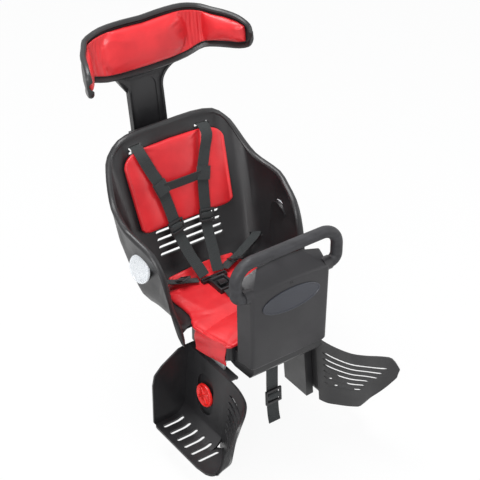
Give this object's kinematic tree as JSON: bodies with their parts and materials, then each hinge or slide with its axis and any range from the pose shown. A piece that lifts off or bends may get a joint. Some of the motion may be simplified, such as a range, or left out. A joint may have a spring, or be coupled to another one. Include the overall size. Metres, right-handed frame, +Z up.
{
  "type": "rear child bike seat",
  "caption": "Rear child bike seat: moulded shell with red pads, winged headrest on a sliding post, front panel with grip bar, and footrests on steel stays.",
  "frame": {"origin": "centre of the four carrier bolts, on the underside of the base frame", "axes": "+Z up towards the headrest, -Y towards the front where the child faces and the grip bar is, +X to the side"},
  "size_m": [0.4108, 0.6371, 0.743],
  "materials": {
    "shell_plastic": "satin black moulded plastic with a fine grain",
    "trim_plastic": "darker moulded plastic",
    "red_vinyl": "smooth red vinyl over foam",
    "black_steel": "powder-coated steel",
    "stay_steel": "bare bright steel strip",
    "zinc_steel": "zinc-plated fasteners and springs",
    "grip_foam": "soft black grip sleeve",
    "knob_red": "glossy red moulded button",
    "reflector_white": "clear-faced white reflector",
    "webbing": "woven black webbing"
  },
  "bodies": {
    "seat": {"seat_shell": "shell_plastic", "seat_pad": "red_vinyl", "back_pad": "red_vinyl", "base_frame": "black_steel", "shell_bolts": "zinc_steel", "stay_left": "stay_steel", "stay_right": "stay_steel", "stay_bolts": "zinc_steel", "headrest_guide": "trim_plastic", "guide_screws": "zinc_steel", "headrest_spring": "zinc_steel", "front_panel": "shell_plastic", "panel_rear_cover": "trim_plastic", "panel_screws": "zinc_steel", "panel_bracket": "trim_plastic", "badge_plate": "trim_plastic", "grip_bar": "black_steel", "grip_sleeve": "grip_foam", "reflector_left": "reflector_white", "reflector_right": "reflector_white", "shoulder_strap_left": "webbing", "shoulder_strap_right": "webbing", "chest_strap": "webbing", "lap_strap_left": "webbing", "lap_strap_right": "webbing", "crotch_strap": "webbing", "strap_adjusters": "trim_plastic", "buckle_body": "trim_plastic", "buckle_tongue": "trim_plastic", "safety_strap": "webbing", "safety_adjuster": "trim_plastic"},
    "headrest": {"headrest_shell": "shell_plastic", "headrest_pad": "red_vinyl"},
    "headrest_button": {"headrest_button": "trim_plastic"},
    "footrest_left": {"footrest_left": "shell_plastic", "foot_carriage_left": "trim_plastic", "foot_spring_left": "zinc_steel"},
    "footrest_right": {"footrest_right": "shell_plastic", "foot_carriage_right": "trim_plastic", "foot_spring_right": "zinc_steel"},
    "foot_button_left": {"foot_button_left": "knob_red"},
    "foot_button_right": {"foot_button_right": "knob_red"},
    "buckle_button": {"buckle_button": "trim_plastic"}
  },
  "joints": [
    {"name": "headrest_slide", "type": "slide", "parent": "seat", "child": "headrest", "axis": [0, 0.1564, 0.9877], "range_m": [-0.06, 0.03]},
    {"name": "headrest_lock", "type": "slide", "parent": "seat", "child": "headrest_button", "axis": [0, -0.9877, 0.1564], "range_m": [0, 0.003], "stiffness_N_per_m": 600, "springref_m": -0.004, "deforming": ["headrest_spring"]},
    {"name": "foot_slide_left", "type": "slide", "parent": "seat", "child": "footrest_left", "axis": [-0.0872, 0, -0.9962], "range_m": [0, 0.06]},
    {"name": "foot_slide_right", "type": "slide", "parent": "seat", "child": "footrest_right", "axis": [0.0872, 0, -0.9962], "range_m": [0, 0.06]},
    {"name": "foot_press_left", "type": "slide", "parent": "footrest_left", "child": "foot_button_left", "axis": [0.9962, 0, -0.0872], "range_m": [0, 0.0035], "stiffness_N_per_m": 600, "springref_m": -0.004, "deforming": ["foot_spring_left"]},
    {"name": "foot_press_right", "type": "slide", "parent": "footrest_right", "child": "foot_button_right", "axis": [-0.9962, 0, -0.0872], "range_m": [0, 0.0035], "stiffness_N_per_m": 600, "springref_m": -0.004, "deforming": ["foot_spring_right"]},
    {"name": "buckle_press", "type": "slide", "parent": "seat", "child": "buckle_button", "axis": [0, 0, -1], "range_m": [0, 0.0025], "stiffness_N_per_m": 800, "springref_m": -0.003}
  ]
}
